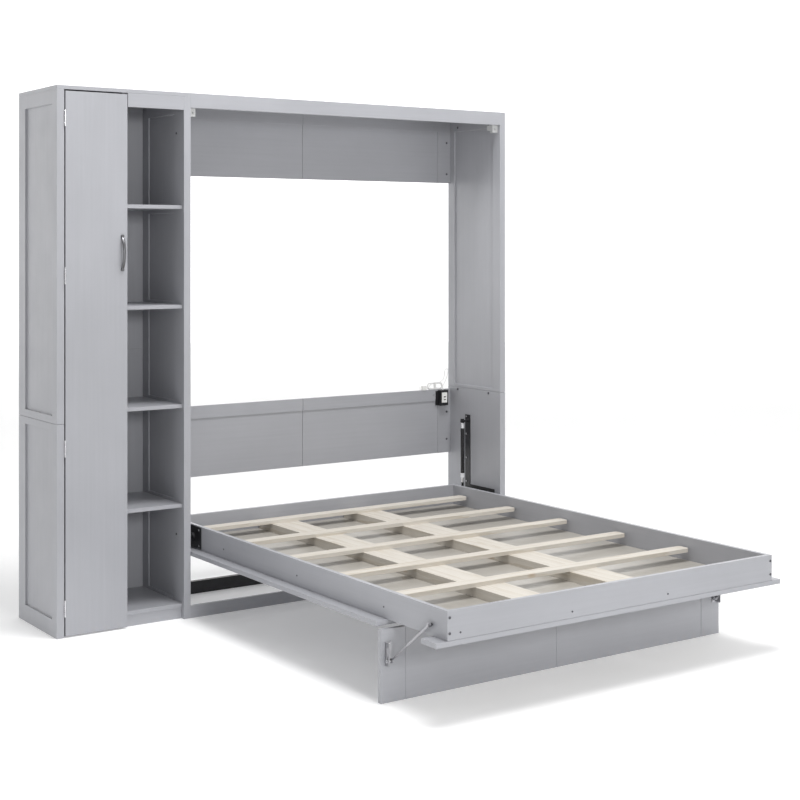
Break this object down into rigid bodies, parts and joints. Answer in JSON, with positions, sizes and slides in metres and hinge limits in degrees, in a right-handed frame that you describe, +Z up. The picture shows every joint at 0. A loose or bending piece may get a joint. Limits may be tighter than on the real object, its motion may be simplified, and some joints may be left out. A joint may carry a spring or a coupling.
{
  "type": "murphy wall bed",
  "caption": "Fold-down wall bed in a tall grey cabinet with gas springs, a folding foot leg, bare slats, and a side closet with a door and open shelves.",
  "frame": {"origin": "centre of the bounding box's base, on the floor, with the bed down and the power lead left out", "axes": "+X along the wall to the viewer's right, +Y towards the wall, +Z up; the bed comes down towards -Y"},
  "size_m": [2.322, 2.21, 2.25],
  "materials": {
    "lacquer": "satin grey lacquer on board",
    "pale_wood": "bare pale softwood",
    "steel": "bright zinc plate",
    "black_steel": "satin black powder coat",
    "pewter": "dark pewter",
    "white_plastic": "white plastic"
  },
  "bodies": {
    "cabinet": {"closet_side_left_upper": "lacquer", "closet_side_left_lower": "lacquer", "closet_side_right": "lacquer", "closet_top": "lacquer", "closet_bottom": "lacquer", "closet_partition": "lacquer", "closet_top_rail": "lacquer", "closet_back": "lacquer", "open_shelves": "lacquer", "inner_shelves": "lacquer", "door_hinge_frame_leaves": "steel", "door_catch": "white_plastic", "bed_side_left": "lacquer", "bed_side_right_upper": "lacquer", "bed_side_right_lower": "lacquer", "bed_top": "lacquer", "bed_top_rail": "lacquer", "header": "lacquer", "headboard": "lacquer", "floor_rail_front": "lacquer", "floor_rail_rear": "black_steel", "corner_bumpers": "white_plastic", "connector_bolts": "pewter", "lift_plate_left": "black_steel", "lift_plate_right": "black_steel", "hub_bracket": "black_steel", "power_hub": "white_plastic", "power_lead": "white_plastic", "lead_hank": "white_plastic", "lead_plug": "white_plastic"},
    "door": {"door_panel": "lacquer", "door_handle": "pewter", "door_hinge_door_leaves": "steel", "door_strike": "steel"},
    "bed": {"head_rail": "lacquer", "foot_rail": "lacquer", "side_rail_left": "lacquer", "side_rail_right": "lacquer", "bottom_board": "lacquer", "cross_slats": "pale_wood", "long_planks": "pale_wood", "front_panel_left": "lacquer", "front_panel_right": "lacquer", "front_panel_foot": "lacquer", "bed_arm_left": "black_steel", "bed_arm_right": "black_steel", "bed_screws": "pewter", "leg_hinge_panel_leaves": "steel"},
    "leg": {"leg_panel": "lacquer", "leg_hardware": "pewter"},
    "gas_cylinder_left": {"gas_cylinder_left": "black_steel"},
    "gas_rod_left": {"gas_rod_left": "steel"},
    "stay_pin_left": {"stay_pin_left": "steel"},
    "stay_rod_left": {"stay_rod_left": "pewter"},
    "stay_cylinder_left": {"stay_cylinder_left": "steel"},
    "gas_cylinder_right": {"gas_cylinder_right": "black_steel"},
    "gas_rod_right": {"gas_rod_right": "steel"},
    "stay_pin_right": {"stay_pin_right": "steel"},
    "stay_rod_right": {"stay_rod_right": "pewter"},
    "stay_cylinder_right": {"stay_cylinder_right": "steel"}
  },
  "joints": [
    {"name": "bed_fold", "type": "hinge", "parent": "cabinet", "child": "bed", "pos_m": [0.285, 0.745, 0.335], "axis": [-1, 0, 0], "range_deg": [0, 90]},
    {"name": "leg_fold", "type": "hinge", "parent": "bed", "child": "leg", "pos_m": [0.285, -0.755, 0.26], "axis": [-1, 0, 0], "range_deg": [0, 90]},
    {"name": "door_hinge", "type": "hinge", "parent": "cabinet", "child": "door", "pos_m": [-1.12625, 0.6714, 1.125], "axis": [0, 0, -1], "range_deg": [0, 110]},
    {"name": "gas_swing_left", "type": "hinge", "parent": "cabinet", "child": "gas_cylinder_left", "pos_m": [-0.519, 0.929, 0.708], "axis": [-1, 0, 0], "range_deg": [0, 15.8]},
    {"name": "gas_slide_left", "type": "slide", "parent": "gas_cylinder_left", "child": "gas_rod_left", "axis": [0, 0, -1], "range_m": [0, 0.2328]},
    {"name": "stay_pin_slide_left", "type": "slide", "parent": "leg", "child": "stay_pin_left", "axis": [0, 0, 1], "range_m": [0, 0.0451]},
    {"name": "stay_swing_left", "type": "hinge", "parent": "stay_pin_left", "child": "stay_rod_left", "pos_m": [-0.519, -0.792, 0.15], "axis": [1, 0, 0], "range_deg": [0, 120.4]},
    {"name": "stay_slide_left", "type": "slide", "parent": "stay_rod_left", "child": "stay_cylinder_left", "axis": [0, 0.7918, -0.6107], "range_m": [0, 0.0851]},
    {"name": "gas_swing_right", "type": "hinge", "parent": "cabinet", "child": "gas_cylinder_right", "pos_m": [1.089, 0.929, 0.708], "axis": [-1, 0, 0], "range_deg": [0, 15.8]},
    {"name": "gas_slide_right", "type": "slide", "parent": "gas_cylinder_right", "child": "gas_rod_right", "axis": [0, 0, -1], "range_m": [0, 0.2328]},
    {"name": "stay_pin_slide_right", "type": "slide", "parent": "leg", "child": "stay_pin_right", "axis": [0, 0, 1], "range_m": [0, 0.0451]},
    {"name": "stay_swing_right", "type": "hinge", "parent": "stay_pin_right", "child": "stay_rod_right", "pos_m": [1.089, -0.792, 0.15], "axis": [1, 0, 0], "range_deg": [0, 120.4]},
    {"name": "stay_slide_right", "type": "slide", "parent": "stay_rod_right", "child": "stay_cylinder_right", "axis": [0, 0.7918, -0.6107], "range_m": [0, 0.0851]}
  ],
  "couplings": [
    {"joint": "gas_swing_left", "follows": "bed_fold", "ratio": 0.1749},
    {"joint": "gas_slide_left", "follows": "bed_fold", "m_per_rad": 0.14814},
    {"joint": "stay_pin_slide_left", "follows": "leg_fold", "m_per_rad": 0.028648},
    {"joint": "stay_swing_left", "follows": "leg_fold", "ratio": 1.3371},
    {"joint": "stay_slide_left", "follows": "leg_fold", "m_per_rad": 0.054132},
    {"joint": "gas_swing_right", "follows": "bed_fold", "ratio": 0.1749},
    {"joint": "gas_slide_right", "follows": "bed_fold", "m_per_rad": 0.14814},
    {"joint": "stay_pin_slide_right", "follows": "leg_fold", "m_per_rad": 0.028648},
    {"joint": "stay_swing_right", "follows": "leg_fold", "ratio": 1.3371},
    {"joint": "stay_slide_right", "follows": "leg_fold", "m_per_rad": 0.054132}
  ]
}
